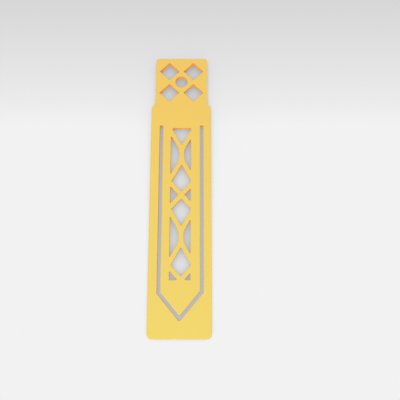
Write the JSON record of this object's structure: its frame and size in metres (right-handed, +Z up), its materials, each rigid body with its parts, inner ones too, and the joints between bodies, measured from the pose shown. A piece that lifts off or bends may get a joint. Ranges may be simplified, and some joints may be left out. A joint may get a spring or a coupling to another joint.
{
  "type": "page-clip bookmark",
  "caption": "Flat one-piece plastic bookmark with a pierced head, a frame and a springy pointed tongue that clips over a page; crossing bars fill the tongue's window.",
  "frame": {"origin": "middle of the sheet's length and width, on the back face that it lies on", "axes": "+Y along the sheet towards the pierced head, +Z up out of the front face, +X to the right"},
  "size_m": [0.021, 0.0984, 0.002],
  "materials": {
    "yellow_plastic": "plain warm yellow, matte, with a very fine grain"
  },
  "bodies": {
    "frame": {"head_tab": "yellow_plastic", "shoulder": "yellow_plastic", "left_rail": "yellow_plastic", "right_rail": "yellow_plastic", "foot": "yellow_plastic", "tongue_root": "yellow_plastic"},
    "tongue": {"left_stile": "yellow_plastic", "right_stile": "yellow_plastic", "lattice": "yellow_plastic", "tongue_tip": "yellow_plastic"}
  },
  "joints": [
    {"name": "tongue_flex", "type": "hinge", "parent": "frame", "child": "tongue", "pos_m": [0, 0.01798, 0.001], "axis": [-1, 0, 0], "range_deg": [0, 12], "stiffness_Nm_per_rad": 0.45, "deforming": ["tongue_root"]}
  ]
}
